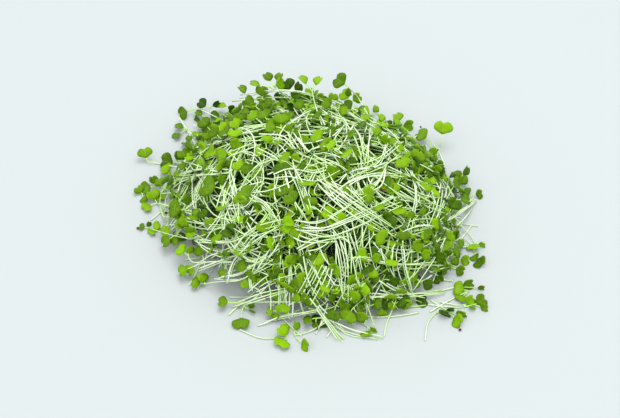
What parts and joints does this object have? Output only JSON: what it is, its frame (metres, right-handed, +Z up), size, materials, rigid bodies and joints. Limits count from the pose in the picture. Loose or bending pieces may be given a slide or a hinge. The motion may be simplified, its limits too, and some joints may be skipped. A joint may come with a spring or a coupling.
{
  "type": "heap of cut tuscan kale microgreens",
  "caption": "Low tangled heap of cut kale microgreens: thin pale stems, each with a pair of small notched green seed leaves, lying across one another.",
  "frame": {"origin": "on the surface that the heap lies on, under the leaf that is pressed flat in its middle", "axes": "+Z up out of the surface, +X along the heap's longest side, -Y towards the viewer of the picture"},
  "size_m": [0.1875, 0.179, 0.0631],
  "materials": {
    "seedling": "satin",
    "leaf": "satin",
    "stem": "satin",
    "seed_hull": "matte"
  },
  "bodies": {
    "root": {"tuft_01": "seedling", "tuft_02": "seedling", "tuft_03": "seedling", "tuft_04": "seedling", "tuft_05": "seedling", "tuft_06": "seedling", "tuft_07": "seedling", "tuft_08": "seedling", "tuft_09": "seedling", "tuft_10": "seedling", "tuft_11": "seedling", "tuft_12": "seedling", "tuft_13": "seedling", "tuft_14": "seedling", "tuft_15": "seedling", "tuft_16": "seedling", "tuft_17": "seedling", "tuft_18": "seedling", "tuft_19": "seedling", "tuft_20": "seedling", "tuft_21": "seedling", "tuft_22": "seedling", "tuft_23": "seedling", "tuft_24": "seedling", "tuft_25": "seedling", "tuft_26": "seedling", "tuft_27": "seedling", "tuft_28": "seedling", "tuft_29": "seedling", "tuft_30": "seedling", "tuft_31": "seedling", "tuft_32": "seedling", "tuft_33": "seedling", "tuft_34": "seedling", "tuft_35": "seedling", "tuft_36": "seedling", "tuft_37": "seedling", "tuft_38": "seedling", "tuft_39": "seedling", "tuft_40": "seedling"}
  },
  "joints": []
}
